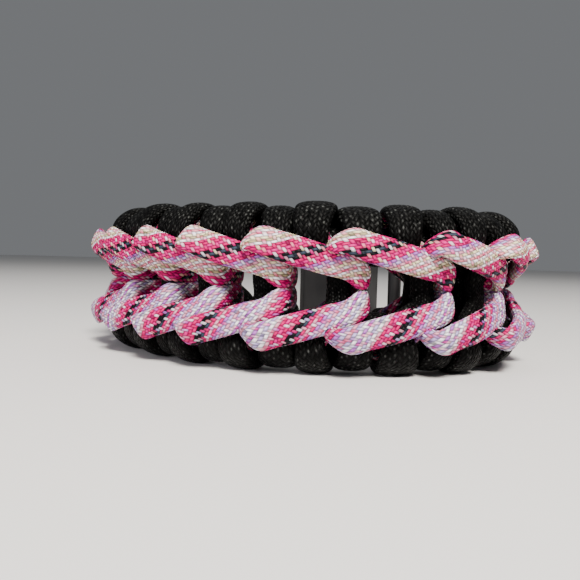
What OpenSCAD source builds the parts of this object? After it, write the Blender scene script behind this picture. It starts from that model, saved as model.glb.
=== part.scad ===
// Woven cord bracelet, a whole loop lying on its edge, in millimetres.
// X runs along the loop's long axis, Y from the shown front to the buckle at the back, Z up.
// A place on the band is [along, side, out]: along the loop from the front middle towards +X,
// side up from the band's middle line, and out from the loop's centre line, away from the wrist.

/* [Loop] */
// Half the loop's length, out to the centre line of the band
loop_half_length = 36; // [34:0.5:40]
// Half the loop's depth, out to the centre line of the band
loop_half_depth = 25.5; // [24:0.5:30]
// Radius of the centre line round each end of the loop
loop_end_radius = 19; // [17:0.5:21]

/* [Wound bars] */
// Distance between the axes of the two core strands
core_spacing = 16.2; // [15.4:0.1:19]
// Diameter of a core strand
core_diameter = 3.4; // [2.6:0.1:3.8]
// Width of the black cord where it lies flat round a bar
cord_width = 4.9; // [4:0.1:5.4]
// Thickness of the black cord where it lies flat round a bar
cord_thickness = 2.5; // [2:0.1:2.8]
// Width of the black cord where it crosses as a rung
rung_width = 3.6; // [3:0.1:4]
// How far a rung lies past the fold beside it
rung_offset = 0.7; // [0.5:0.1:0.9]

/* [Patterned arms] */
// Width of the patterned cord on its arms
arm_width = 4.6; // [4:0.1:5]
// Thickness of the patterned cord on its arms
arm_thickness = 2.2; // [1.8:0.1:2.4]
// Thickness of the patterned cord where a wrap presses it on the core
tuck_thickness = 1.4; // [1.2:0.1:1.8]
// Width of the gap between two wraps that the patterned cord comes up through
crevice = 2.5; // [2.3:0.1:2.7]

/* [Buckle] */
// Length of the buckle along the loop
buckle_length = 32.4; // [31:0.2:36]
// Height of the buckle across the band
buckle_height = 26; // [25.4:0.2:27]
// Thickness of the buckle's body
buckle_thickness = 6.8; // [6:0.2:8]
// Length of the buckle's body between its two slots
buckle_body_length = 18; // [14:0.5:18]
// Diameter of the end bars that the core strands hook round
end_bar_diameter = 3; // [2.4:0.1:3.2]

/* [Hidden] */

// Gap left between pieces that lie on each other
lay_gap = 0.22;
// Gap left between two wraps side by side
side_gap = 0.42;
// Straight stretch of core between the last wrap and the axis of the end bar
tail_length = 4.55;
// Length shares of the woven units, from the buckle's left end round the front to its right end
unit_share = [10.9, 10.9, 10.9, 10.8, 10.9, 9.1, 10.5, 11.8, 13.3, 10.5, 11.2, 11.1, 11.1];
unit_count = len(unit_share);
UPPER = 1;
LOWER = -1;
CORD_SIDES = 6;
CORE_SIDES = 8;

// The centre line: four arcs, two flat ones at the front and back and one round each end
end_centre = loop_half_length - loop_end_radius;
end_rise = loop_half_depth - loop_end_radius;
flat_centre = (end_centre * end_centre - end_rise * end_rise) / (2 * end_rise);
flat_radius = loop_half_depth + flat_centre;
flat_turn = atan2(end_centre, flat_centre);
flat_arc = flat_radius * flat_turn * PI / 180;
end_arc = loop_end_radius * (180 - 2 * flat_turn) * PI / 180;
half_loop = 2 * flat_arc + end_arc;

// Sizes across a bar
side_axis = core_spacing / 2;
core_radius = core_diameter / 2;
wrap_radius = (core_radius + lay_gap + cord_thickness / 2) / cos(22.5);
wrap_face = core_radius + lay_gap + cord_thickness;
tuck_lift = tuck_thickness + 0.25;
rung_out = cord_thickness / 2 + 0.25;
rung_face = rung_out + cord_thickness / 2;

// Sizes along the band
bar_along = half_loop - buckle_length / 2 + end_bar_diameter / 2;
weave_half = bar_along - tail_length - cord_width - crevice / 2;
share_sum = running(unit_share, unit_count);

function running(list, n) = n <= 0 ? 0 : list[n - 1] + running(list, n - 1);
// Place along the loop of fold k, where the patterned cord comes up between two wraps
function fold(k) = -weave_half + 2 * weave_half * running(unit_share, k) / share_sum;
function unit_length(k) = let (u = min(max(k, 1), unit_count)) fold(u) - fold(u - 1);
function wrap_width(k) = min(cord_width, (unit_length(k) - crevice - side_gap) / 2);
// Middle of the unit before fold k, where the patterned cord goes in from the back
function middle(k) = k > unit_count ? fold(unit_count) + unit_length(k) / 2 : fold(k) - unit_length(k) / 2;

// Angle and sign of a place along the loop, then the centre line's point and its outward direction
function loop_turn(u) =
    u <= flat_arc ? u / flat_radius * 180 / PI
    : u <= flat_arc + end_arc ? flat_turn + (u - flat_arc) / loop_end_radius * 180 / PI
    : 180 - (half_loop - u) / flat_radius * 180 / PI;
function wrapped(s) = s > half_loop ? s - 2 * half_loop : s < -half_loop ? s + 2 * half_loop : s;
function out_dir(s) =
    let (w = wrapped(s), a = loop_turn(abs(w)))
    [(w < 0 ? -1 : 1) * sin(a), -cos(a), 0];
function along_dir(s) =
    let (o = out_dir(s))
    [-o[1], o[0], 0];
function centre_point(s) =
    let (
        w = wrapped(s),
        u = abs(w),
        o = out_dir(s),
        on_end = u > flat_arc && u <= flat_arc + end_arc,
        r = on_end ? loop_end_radius : flat_radius,
        cx = on_end ? (w < 0 ? -end_centre : end_centre) : 0,
        cy = on_end ? 0 : (u <= flat_arc ? flat_centre : -flat_centre)
    )
    [cx, cy, 0] + r * o;

// A station of a strand: its place [along, side, out], half width, half thickness and the
// direction that its flat face looks in, given the same way as a place
PLACE = 0;
HALF_WIDTH = 1;
HALF_THICK = 2;
FACE = 3;
function to_world(s, v) = v[0] * along_dir(s) + v[2] * out_dir(s) + [0, 0, v[1]];
function world_point(st) = let (p = st[PLACE]) centre_point(p[0]) + to_world(p[0], [0, p[1], p[2]]);
function unit_vector(v) = v / norm(v);
function path_dir(pts, i) =
    let (
        last = len(pts) - 1,
        before = i > 0 ? unit_vector(pts[i] - pts[i - 1]) : [0, 0, 0],
        after = i < last ? unit_vector(pts[i + 1] - pts[i]) : [0, 0, 0]
    )
    unit_vector(before + after);
// Outline of a strand as shares of its half width and half thickness: a cord pressed flat has a
// broad face on each side and full edges, a core strand is round
flat_section = [[1, 0], [0.6, 1], [-0.6, 1], [-1, 0], [-0.6, -1], [0.6, -1]];
function section(sides) =
    sides == CORD_SIDES ? flat_section
    : [for (i = [0:sides - 1]) let (a = 360 * i / sides) [cos(a), sin(a)]];
function strand_ring(st, point, dir, sides) =
    let (
        face = to_world(st[PLACE][0], st[FACE]),
        wide = unit_vector(cross(face, dir)),
        thick = cross(dir, wide)
    )
    [for (c = section(sides)) point + wide * st[HALF_WIDTH] * c[0] + thick * st[HALF_THICK] * c[1]];

// One closed solid swept through the stations, with flat ends
function strand_points(stations, sides) =
    let (pts = [for (st = stations) world_point(st)])
    [for (i = [0:len(pts) - 1]) each strand_ring(stations[i], pts[i], path_dir(pts, i), sides)];
module strand(stations, sides) {
    count = len(stations);
    points = strand_points(stations, sides);
    walls = [for (i = [0:count - 2], j = [0:sides - 1])
        let (a = i * sides + j, b = i * sides + (j + 1) % sides)
        for (tri = [[a, b + sides, b], [a, a + sides, b + sides]]) tri];
    start = [for (j = [0:sides - 1]) j];
    end = [for (j = [sides - 1:-1:0]) (count - 1) * sides + j];
    translate(base_shift) polyhedron(points = points, faces = concat([start], walls, [end]), convexity = 10);
}

// Stations of one wrap, from the front over the band's edge to the back. Columns: angle from the
// band's edge towards the front, shift from the front place to the back place, lift over the
// tucked patterned cord, thickness share, width share and an extra spread at the inner back.
// Between the two places a wrap swells into the gaps beside it
ANGLE = 0;
SHIFT = 1;
LIFT = 2;
THIN = 3;
NARROW = 4;
SPREAD = 5;
wrap_table = [
    [112.5, 0, 0.35, 0.96, 0.92, 0],
    [67.5, 0.1, 0.95, 0.92, 0.98, 0],
    [22.5, 0.4, 0.98, 0.92, 0.98, 0],
    [-22.5, 0.7, 0.94, 0.92, 0.94, 0],
    [-67.5, 0.95, 0.34, 0.96, 0.89, 0],
    [-112.5, 1, 0, 1, 0.86, 0.35]
];

function polar(side, angle, radius) = [side * (side_axis + radius * cos(angle)), radius * sin(angle)];
function wrap_station(k, tall, side, row) =
    let (
        w = wrap_width(tall ? k : k + 1),
        way = tall ? -1 : 1,
        front = fold(k) + way * (crevice + w) / 2,
        back = fold(k) + way * (side_gap + w) / 2,
        along = front + (back - front) * row[SHIFT] + way * row[SPREAD],
        at = polar(side, row[ANGLE], wrap_radius + (tall ? row[LIFT] * tuck_lift : 0)),
        swell = (crevice - side_gap) * min(row[SHIFT], 1 - row[SHIFT]) / 2,
        thick = tall ? row[THIN] : 1
    )
    [[along, at[0], at[1]], w / 2 * row[NARROW] + swell, cord_thickness / 2 * thick,
     [0, side * cos(row[ANGLE]), sin(row[ANGLE])]];
function backwards(list) = [for (i = [len(list) - 1:-1:0]) list[i]];
// The upper bar is wound from the front to the back and the lower bar from the back to the front
function wrap_stations(k, tall, side) =
    [for (row = (side == UPPER ? wrap_table : backwards(wrap_table))) wrap_station(k, tall, side, row)];

// Passing the bar's inner side, from the short wrap of fold k to the tall wrap of the next one
inner_width = 3.6;
inner_table = [[-157.5, -0.2], [157.5, 0.35]];
function inner_stations(k, side) =
    [for (row = inner_table)
        let (angle = side == UPPER ? row[0] : -row[0], at = polar(side, angle, wrap_radius))
        [[middle(k + 1) + row[1], at[0], at[1]], min(wrap_width(k + 1), inner_width) / 2, cord_thickness / 2,
         [0, side * cos(angle), sin(angle)]]];

// A rung leaves the upper bar at the back and the lower bar at the front
rung_reach = 2.4;
function rung_stations(k, from) =
    let (w = min(rung_width, wrap_width(k), wrap_width(k + 1)))
    [for (end = [from, -from])
        [[fold(k) + rung_offset, end * rung_reach, -from * rung_out], w / 2, cord_thickness / 2,
         [0, 0, -from]]];

// A black strand: a tall wrap, then rung, short wrap and tall wrap in turn, changing bars each time
function black_unit(k, from) =
    concat(
        rung_stations(k, from),
        wrap_stations(k, false, -from),
        k < unit_count ? inner_stations(k, -from) : [],
        k < unit_count ? wrap_stations(k + 1, true, -from) : []
    );
function black_route(first) =
    concat(
        wrap_stations(0, true, first),
        [for (k = [0:unit_count])
            each black_unit(k, k % 2 == 0 ? first : -first)]
    );

// The patterned strand. Its arm runs from the fold inwards to the tip, where it meets its mirror
// image and dives beside the next rung
tip_side = (side_axis - wrap_face) / 2;
tip_half_width = tip_side - 0.2;
arm_start = 1.3;
arm_start_side = side_axis - 0.5;
tip_along = rung_offset + rung_width / 2 + arm_thickness / 2 + 0.8;
back_out = wrap_face + arm_thickness / 2 + 0.48;
rung_back_out = rung_face + arm_thickness / 2 + 0.55;
function arm_side(k, along) =
    let (run = unit_length(k + 1) - arm_start + tip_along + 0.95)
    arm_start_side - (arm_start_side - tip_side - 0.56) * (along - fold(k) - arm_start) / run;

// Columns of the arm: share of the unit's length, height above the wraps as a share of the
// thickness, share of the width, and the tilt of its face towards the band's edge
ARM_AT = 0;
ARM_OUT = 1;
ARM_WIDE = 2;
ARM_TILT = 3;
arm_table = [
    [0.12, 1.4, 1, 22],
    [0.33, 1.26, 1, 14],
    [0.56, 1.06, 1, 0],
    [0.94, 0.51, 0.91, -18]
];
function arm_stations(k) =
    [for (row = arm_table)
        let (along = fold(k) + row[ARM_AT] * unit_length(k + 1))
        [[along, arm_side(k, along), wrap_face + row[ARM_OUT] * arm_thickness],
         arm_width / 2 * row[ARM_WIDE], arm_thickness / 2,
         [0, sin(row[ARM_TILT]), cos(row[ARM_TILT])]]];

// Over the next rung, down beside it and back behind it to the bar
function dive_stations(k) =
    let (f = fold(k), s = f + tip_along, t = arm_thickness / 2)
    [
        [[s - 2.15, arm_side(k - 1, s - 2.15), rung_face + 2.1], 0.85 * arm_width / 2, t, [0, -0.21, 0.98]],
        [[s - 0.35, tip_side + 0.15, rung_face + 1], tip_half_width + 0.1, 0.9 * t, [0.75, -0.1, 0.6]],
        [[s, tip_side, 0.6], tip_half_width, 0.9 * t, [1, 0, 0]],
        [[s - 0.15, tip_side, 0.15 - rung_face], tip_half_width, 0.9 * t, [0.9, 0, -0.3]],
        [[s - 1.55, tip_side + 0.5, -rung_back_out], tip_half_width + 0.25, 0.9 * t, [0.25, 0, -1]],
        [[s - 4.05, tip_side + 1.85, -rung_back_out - 0.5], 0.87 * arm_width / 2, 0.9 * t, [0, 0, -1]],
        [[f - 2.7, side_axis - 2.5, -back_out], 0.83 * arm_width / 2, 0.9 * t, [0, 0.1, -1]]
    ];

// In at the back, round the core under the tall wrap, and up to the fold
function tuck_point(along, angle, rise, half_width, half_thick, face) =
    let (at = polar(UPPER, angle, core_radius + rise))
    [[along, at[0], at[1]], half_width, half_thick, face];
function tuck_stations(k) =
    let (f = fold(k), m = middle(k), w = wrap_width(k), t = tuck_thickness / 2, r = t + lay_gap)
    [
        tuck_point(m - 0.05, -60, 1.35, 1.05, t, [1, 0, 0]),
        tuck_point(m + 0.75, -22, r + 0.24, 1, t, [0.5, 0.8, -0.2]),
        tuck_point(f - 0.3 - 0.55 * w, 18, r + 0.03, 1.3, t, [0, cos(18), sin(18)]),
        tuck_point(f - 1.5, 50, r + 0.05, 1.4, t, [0, cos(50), sin(50)]),
        [[f - 0.15, side_axis + 0.3, wrap_face - 0.5], 1.6, t, [-0.75, 0, 0.66]],
        [[f + 0.25, side_axis + 0.35, wrap_face + 1.75], 1.7, 0.82 * arm_thickness / 2, [-0.8, 0, 0.6]]
    ];
function entry_station(k) =
    [[[middle(k) + 0.15, side_axis - 1, -back_out], 0.95, 0.72, [0.85, 0.15, -0.5]]];

function patterned_upper() =
    concat(
        tuck_stations(0),
        [for (k = [0:unit_count - 1])
            each concat(
                arm_stations(k),
                dive_stations(k + 1),
                k < unit_count - 1 ? entry_station(k + 1) : [],
                k < unit_count - 1 ? tuck_stations(k + 1) : []
            )]
    );
// The same strand on the other side of the band's middle line
function mirrored(stations) =
    [for (st = stations) let (p = st[PLACE], v = st[FACE])
        [[p[0], -p[1], p[2]], st[HALF_WIDTH], st[HALF_THICK], [v[0], -v[1], v[2]]]];

// A core strand runs straight through its bar and hooks round the buckle's end bar. Columns of the
// hook: share of the hook's radius along from the end bar's axis, the same outwards, and its face
hook_radius = end_bar_diameter / 2 + core_radius + 0.3;
hook_table = [
    [-0.83, -1, 0, -1],
    [0.09, -1, 0.2, -1],
    [0.74, -0.69, 0.7, -0.7],
    [1, 0, 1, 0],
    [0.74, 0.69, 0.7, 0.7],
    [0.06, 1, -0.1, 1],
    [-0.63, 0.69, -0.5, 0.8],
    [-1.14, 0.14, -0.3, 0.9]
];
core_rings = 36;
function hook_stations(way, side) =
    [for (row = hook_table)
        [[way * (bar_along + hook_radius * row[0]), side * side_axis, hook_radius * row[1]],
         core_radius, core_radius, [way * row[2], 0, row[3]]]];
function core_route(side) =
    let (run = bar_along - 2 * hook_radius)
    concat(
        hook_stations(-1, side),
        [for (i = [0:core_rings])
            [[run * (2 * i / core_rings - 1), side * side_axis, 0], core_radius, core_radius, [0, 0, 1]]],
        backwards(hook_stations(1, side))
    );

// The whole bracelet moves so that the middle of its underside is the origin
outer_points = concat(
    strand_points(patterned_upper(), CORD_SIDES),
    strand_points(black_route(UPPER), CORD_SIDES),
    strand_points(black_route(LOWER), CORD_SIDES)
);
function lowest(axis) = min([for (p = outer_points) p[axis]]);
function highest(axis) = max([for (p = outer_points) p[axis]]);
back_edge = max(highest(1), loop_half_depth + buckle_thickness / 2);
base_shift = [-(lowest(0) + highest(0)) / 2, -(lowest(1) + back_edge) / 2, -lowest(2)];

module core_cord_upper() {
    color("black") strand(core_route(UPPER), CORE_SIDES);
}

module core_cord_lower() {
    color("black") strand(core_route(LOWER), CORE_SIDES);
}

module black_cord_near() {
    color("black") strand(black_route(UPPER), CORD_SIDES);
}

module black_cord_far() {
    color("black") strand(black_route(LOWER), CORD_SIDES);
}

module patterned_cord_upper() {
    color("hotpink") strand(patterned_upper(), CORD_SIDES);
}

module patterned_cord_lower() {
    color("hotpink") strand(mirrored(patterned_upper()), CORD_SIDES);
}

// The buckle follows the loop's back arc. Its parts are bent boxes between two places along the loop
rail_thickness = 3.6;
rail_height = 2.5;
body_corner = 1.4;
seam_depth = 0.6;
seam_width = 0.8;
seam_along = 2;
window_depth = 0.9;
window_height = 4.2;
window_length = 9;
window_side = 7;
window_shift = -2.2;
// The body's edge steps down: a longer bar that is lower and thinner runs through it
step_length = 1.2;
step_height = 0.6;
step_out = 0.7;
function back_turn(length) = length / flat_radius * 180 / PI;

// A box bent round the back arc: its length, side range and out range
module bent_box(length, low, high, inner, outer, shift = 0) {
    turn = back_turn(length);
    translate([0, -flat_centre, 0])
        rotate([0, 0, 90 - turn / 2 + back_turn(shift)])
            rotate_extrude(angle = turn, $fn = 240)
                translate([flat_radius + inner, low]) square([outer - inner, high - low]);
}

// The same with its four long edges rounded
module bent_bar(length, half_height, inner, outer, corner) {
    turn = back_turn(length);
    translate([0, -flat_centre, 0])
        rotate([0, 0, 90 - turn / 2])
            rotate_extrude(angle = turn, $fn = 240) {
                translate([flat_radius + inner, -half_height + corner])
                    square([outer - inner, 2 * (half_height - corner)]);
                translate([flat_radius + inner + corner, -half_height])
                    square([outer - inner - 2 * corner, 2 * half_height]);
                for (r = [inner + corner, outer - corner], z = [-half_height + corner, half_height - corner])
                    translate([flat_radius + r, z]) circle(r = corner, $fn = 48);
            }
}

module end_bar(way) {
    at = centre_point(way * bar_along);
    translate([at[0], at[1], rail_height / 2 - buckle_height / 2])
        cylinder(h = buckle_height - rail_height, d = end_bar_diameter, $fn = 48);
}

module buckle() {
    body_out = buckle_thickness / 2;
    rail_out = rail_thickness / 2;
    half_height = buckle_height / 2;
    color("black") translate(base_shift) difference() {
        union() {
            bent_bar(buckle_body_length - 2 * step_length, half_height - step_height,
                -body_out, body_out, body_corner);
            bent_bar(buckle_body_length, half_height - 2 * step_height,
                step_out - body_out, body_out - step_out, body_corner);
            for (low = [-half_height, half_height - rail_height])
                bent_box(buckle_length, low, low + rail_height, -rail_out, rail_out);
            end_bar(1);
            end_bar(-1);
        }
        bent_box(seam_width, -half_height, half_height, body_out - seam_depth, body_out + 1, seam_along);
        for (side = [-1, 1])
            bent_box(window_length, side * window_side - window_height / 2,
                side * window_side + window_height / 2,
                body_out - window_depth, body_out + 1, window_shift);
    }
}

core_cord_upper();
core_cord_lower();
black_cord_near();
black_cord_far();
patterned_cord_upper();
patterned_cord_lower();
buckle();
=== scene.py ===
"""Woven cord bracelet: the braided cords, the buckle and the studio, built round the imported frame.

Sizes are in millimetres until a mesh is made. A place on the band is (along, side, out): along
the loop from the front middle towards +X, side up from the band's middle line, and out from the
loop's centre line, away from the wrist.
"""

import logging
import math
from dataclasses import dataclass, field, fields, replace
from enum import Enum, IntEnum
from functools import partial

import bpy
import numpy as np
from mathutils import Matrix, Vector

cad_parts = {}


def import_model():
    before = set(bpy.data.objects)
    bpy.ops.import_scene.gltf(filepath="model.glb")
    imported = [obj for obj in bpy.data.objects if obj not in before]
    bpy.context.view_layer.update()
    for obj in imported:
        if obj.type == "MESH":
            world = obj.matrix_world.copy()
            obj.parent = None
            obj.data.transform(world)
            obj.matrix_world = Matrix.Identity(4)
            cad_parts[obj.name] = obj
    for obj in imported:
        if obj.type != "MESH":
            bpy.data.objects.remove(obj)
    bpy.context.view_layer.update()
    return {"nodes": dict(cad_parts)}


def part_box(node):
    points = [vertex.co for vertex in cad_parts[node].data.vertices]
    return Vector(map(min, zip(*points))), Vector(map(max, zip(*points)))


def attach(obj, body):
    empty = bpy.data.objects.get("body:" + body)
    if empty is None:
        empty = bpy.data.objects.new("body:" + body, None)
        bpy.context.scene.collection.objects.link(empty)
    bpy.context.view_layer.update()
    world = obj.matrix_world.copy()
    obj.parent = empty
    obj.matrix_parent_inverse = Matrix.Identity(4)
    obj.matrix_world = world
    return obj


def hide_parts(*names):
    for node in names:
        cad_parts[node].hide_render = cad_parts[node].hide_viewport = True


LOG = logging.getLogger("bracelet")
MM = 0.001
UPPER = 1
LOWER = -1
# Height of a stitch at its two ends, as a share of its top
STITCH_END = 0.08
# Guards against a division by nothing and against rounding at a whole number
TINY = 1e-6

Color = tuple[float, float, float]


# The loop and the weave's plan


@dataclass(frozen=True)
class OvalLoop:
    """Centre line of the band: four arcs, flat ones at the front and back, one round each end."""

    half_length: float = 36.0
    half_depth: float = 25.5
    end_radius: float = 19.0

    @property
    def end_centre(self) -> float:
        """Distance of an end arc's centre from the middle."""
        return self.half_length - self.end_radius

    @property
    def flat_centre(self) -> float:
        """Distance of a flat arc's centre from the middle."""
        rise = self.half_depth - self.end_radius
        return (self.end_centre**2 - rise**2) / (2 * rise)

    @property
    def flat_radius(self) -> float:
        """Radius of the front and back arcs."""
        return self.half_depth + self.flat_centre

    @property
    def flat_turn(self) -> float:
        """Angle in radians that half a flat arc turns through."""
        return math.atan2(self.end_centre, self.flat_centre)

    @property
    def flat_arc(self) -> float:
        """Length of half a flat arc."""
        return self.flat_radius * self.flat_turn

    @property
    def end_arc(self) -> float:
        """Length of an end arc."""
        return self.end_radius * (math.pi - 2 * self.flat_turn)

    @property
    def half_loop(self) -> float:
        """Half the length of the centre line."""
        return 2 * self.flat_arc + self.end_arc

    def frame(self, along: np.ndarray) -> tuple[np.ndarray, np.ndarray]:
        """Centre line point and outward direction at each place along the loop.

        The turn a is s/R on the first arc, a0 + (s - s0)/r on the end and pi - (h - s)/R at the
        back. The point is the arc's centre plus its radius times (sin a, -cos a, 0).

        Args:
            along: Distances along the loop from the front middle, any shape (n,).

        Returns:
            Points (n, 3) and outward unit vectors (n, 3).
        """
        half = self.half_loop
        s = np.mod(along + half, 2 * half) - half
        sign = np.where(s < 0, -1.0, 1.0)
        u = np.abs(s)
        on_front = u <= self.flat_arc
        on_end = ~on_front & (u <= self.flat_arc + self.end_arc)
        turn = np.where(
            on_front,
            u / self.flat_radius,
            np.where(
                on_end,
                self.flat_turn + (u - self.flat_arc) / self.end_radius,
                math.pi - (half - u) / self.flat_radius,
            ),
        )
        zero = np.zeros_like(u)
        out = np.stack([sign * np.sin(turn), -np.cos(turn), zero], axis=1)
        radius = np.where(on_end, self.end_radius, self.flat_radius)
        cx = np.where(on_end, sign * self.end_centre, 0.0)
        cy = np.where(on_end, 0.0, np.where(on_front, self.flat_centre, -self.flat_centre))
        return np.stack([cx, cy, zero], axis=1) + radius[:, None] * out, out

    def to_world(self, along: np.ndarray, local: np.ndarray) -> np.ndarray:
        """Turns directions given as (along, side, out) into world directions.

        Args:
            along: Distances along the loop (n,).
            local: Directions (n, 3).

        Returns:
            World directions (n, 3).
        """
        out = self.frame(along)[1]
        tangent = np.stack([-out[:, 1], out[:, 0], np.zeros(len(out))], axis=1)
        up = np.array([0.0, 0.0, 1.0])
        return local[:, :1] * tangent + local[:, 1:2] * up + local[:, 2:] * out


@dataclass
class Stations:
    """Stations of a strand: places, half sizes, the way the flat face looks, and the woven unit.

    The lean says how far a section slants, as forward travel for each step across.
    """

    place: np.ndarray
    half_width: np.ndarray
    half_thick: np.ndarray
    face: np.ndarray
    unit: np.ndarray
    lean: np.ndarray

    @classmethod
    def of(cls, rows: list[tuple], unit: int = 0) -> "Stations":
        """Makes stations from rows of (place, half width, half thickness, face[, lean]).

        Args:
            rows: The rows.
            unit: The woven unit that they belong to.

        Returns:
            The stations.
        """
        columns = zip(*[(*row, 0.0)[:5] for row in rows])
        place, half_width, half_thick, face, lean = (np.array(c, float) for c in columns)
        return cls(place, half_width, half_thick, face, np.full(len(rows), unit), lean)

    @classmethod
    def join(cls, parts: list["Stations"]) -> "Stations":
        """Puts several runs of stations end to end."""
        return cls(*(np.concatenate([getattr(p, f.name) for p in parts]) for f in fields(cls)))

    def mirrored(self) -> "Stations":
        """The same run on the other side of the band's middle line."""
        flip = np.array([1.0, -1.0, 1.0])
        return replace(self, place=self.place * flip, face=self.face * flip, lean=-self.lean)

    def backwards(self) -> "Stations":
        """The same run travelled the other way."""
        return Stations(*(getattr(self, f.name)[::-1] for f in fields(self)))


class Wrap(IntEnum):
    """Columns of the wrap table."""

    ANGLE = 0
    SHIFT = 1
    LIFT = 2
    THIN = 3
    NARROW = 4
    SPREAD = 5
    PRESS = 6


@dataclass(frozen=True)
class WeavePlan:
    """Named sizes of the weave and the routes of its strands.

    The routes follow the solids' own; a wrap is eased outwards and a fold is leaned over by a
    few tenths of a millimetre, for the soft look of pressed cord. Each room is the air that is
    left where two pieces pass each other.

    The wrap table's columns are named by Wrap. A row of the inner table is an angle and a shift
    along. A row of the arm table is a share of the unit's length, a height over the wraps' faces
    in arm thicknesses, a share of the width, a tilt in degrees and a lean. A row of the hook
    table is a place along and out in hook radii, and the face's direction along and out.
    """

    loop: OvalLoop = OvalLoop()
    core_spacing: float = 16.2
    core_diameter: float = 3.4
    cord_width: float = 4.9
    cord_thickness: float = 2.5
    rung_width: float = 3.6
    rung_offset: float = 0.7
    arm_width: float = 4.6
    arm_thickness: float = 2.2
    tuck_thickness: float = 1.4
    crevice: float = 2.5
    buckle_length: float = 32.4
    buckle_thickness: float = 6.8
    end_bar_diameter: float = 3.0
    lay_gap: float = 0.22
    side_gap: float = 0.42
    tuck_room: float = 0.25
    rung_room: float = 0.25
    tip_room: float = 0.8
    back_room: float = 0.48
    hook_room: float = 0.3
    tail_length: float = 4.55
    inner_width: float = 3.6
    rung_reach: float = 2.4
    wrap_ease: float = 0.06
    short_lift: float = 0.5
    short_swell: float = 0.22
    uneven: float = 0.09
    waver_unit: float = 2.4
    waver_side: float = 1.7
    arm_start: float = 1.3
    arm_drop: float = 0.5
    arm_overrun: float = 0.95
    arm_end_rise: float = 0.56
    dive_thin: float = 0.9
    core_stations: int = 37
    stations_before_arm: int = 5
    unit_share: tuple[float, ...] = (
        10.9, 10.9, 10.9, 10.8, 10.9, 9.1, 10.5, 11.8, 13.3, 10.5, 11.2, 11.1, 11.1,
    )
    wrap_table: tuple[tuple[float, ...], ...] = (
        (112.5, 0, 0.4, 0.96, 0.92, 0, 0.1),
        (67.5, 0.1, 0.97, 0.92, 0.98, 0, 0.3),
        (22.5, 0.4, 0.92, 0.9, 0.98, 0, 0.42),
        (-22.5, 0.7, 0.88, 0.9, 0.94, 0, 0.42),
        (-67.5, 0.95, 0.34, 0.96, 0.89, 0, 0.25),
        (-112.5, 1, 0, 1, 0.86, 0.35, 0.1),
    )
    inner_table: tuple[tuple[float, float], ...] = ((-157.5, -0.2), (157.5, 0.35))
    arm_table: tuple[tuple[float, ...], ...] = (
        (0.11, 1.42, 0.95, 24, 0.75),
        (0.33, 1.32, 0.96, 14, 0.3),
        (0.56, 1.1, 0.96, 0, 0),
        (0.94, 0.55, 0.93, -18, 0),
    )
    hook_table: tuple[tuple[float, ...], ...] = (
        (-0.83, -1, 0, -1),
        (0.09, -1, 0.2, -1),
        (0.74, -0.69, 0.7, -0.7),
        (1, 0, 1, 0),
        (0.74, 0.69, 0.7, 0.7),
        (0.06, 1, -0.1, 1),
        (-0.63, 0.69, -0.5, 0.8),
        (-1.14, 0.14, -0.3, 0.9),
    )

    @property
    def unit_count(self) -> int:
        """Number of woven units."""
        return len(self.unit_share)

    @property
    def side_axis(self) -> float:
        """Side place of a bar's axis."""
        return self.core_spacing / 2

    @property
    def core_radius(self) -> float:
        """Radius of a core strand."""
        return self.core_diameter / 2

    @property
    def wrap_radius(self) -> float:
        """Radius of a wrap's middle line round the core, with a little ease."""
        return self.core_radius + self.lay_gap + self.cord_thickness / 2 + self.wrap_ease

    @property
    def wrap_face(self) -> float:
        """How far out the face of a plain wrap lies."""
        return self.core_radius + self.lay_gap + self.cord_thickness

    @property
    def tuck_lift(self) -> float:
        """How much a wrap rises where the patterned cord runs under it."""
        return self.tuck_thickness + self.tuck_room

    @property
    def rung_out(self) -> float:
        """How far out or in the middle of a rung lies."""
        return self.cord_thickness / 2 + self.rung_room

    @property
    def rung_face(self) -> float:
        """How far out the face of a rung lies."""
        return self.rung_out + self.cord_thickness / 2

    @property
    def bar_along(self) -> float:
        """Place along the loop of the buckle's end bar."""
        return self.loop.half_loop - self.buckle_length / 2 + self.end_bar_diameter / 2

    @property
    def weave_half(self) -> float:
        """Place along the loop of the last fold."""
        return self.bar_along - self.tail_length - self.cord_width - self.crevice / 2

    def fold(self, k: int) -> float:
        """Place of fold k, where the patterned cord comes up between two wraps."""
        share = sum(self.unit_share[: max(k, 0)]) / sum(self.unit_share)
        return self.weave_half * (2 * share - 1)

    def unit_length(self, k: int) -> float:
        """Length of the unit that ends at fold k."""
        u = min(max(k, 1), self.unit_count)
        return self.fold(u) - self.fold(u - 1)

    def wrap_width(self, k: int) -> float:
        """Width of a wrap in the unit that ends at fold k."""
        return min(self.cord_width, (self.unit_length(k) - self.crevice - self.side_gap) / 2)

    def middle(self, k: int) -> float:
        """Middle of the unit that ends at fold k.

        Args:
            k: Number of the fold.

        Returns:
            The place along the loop.
        """
        if k > self.unit_count:
            return self.fold(self.unit_count) + self.unit_length(k) / 2
        return self.fold(k) - self.unit_length(k) / 2

    def polar(self, side: int, angle: float, radius: float) -> tuple[float, float]:
        """Side and out place at an angle in degrees round a bar, 0 at the band's edge."""
        turn = math.radians(angle)
        return side * (self.side_axis + radius * math.cos(turn)), radius * math.sin(turn)

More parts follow.
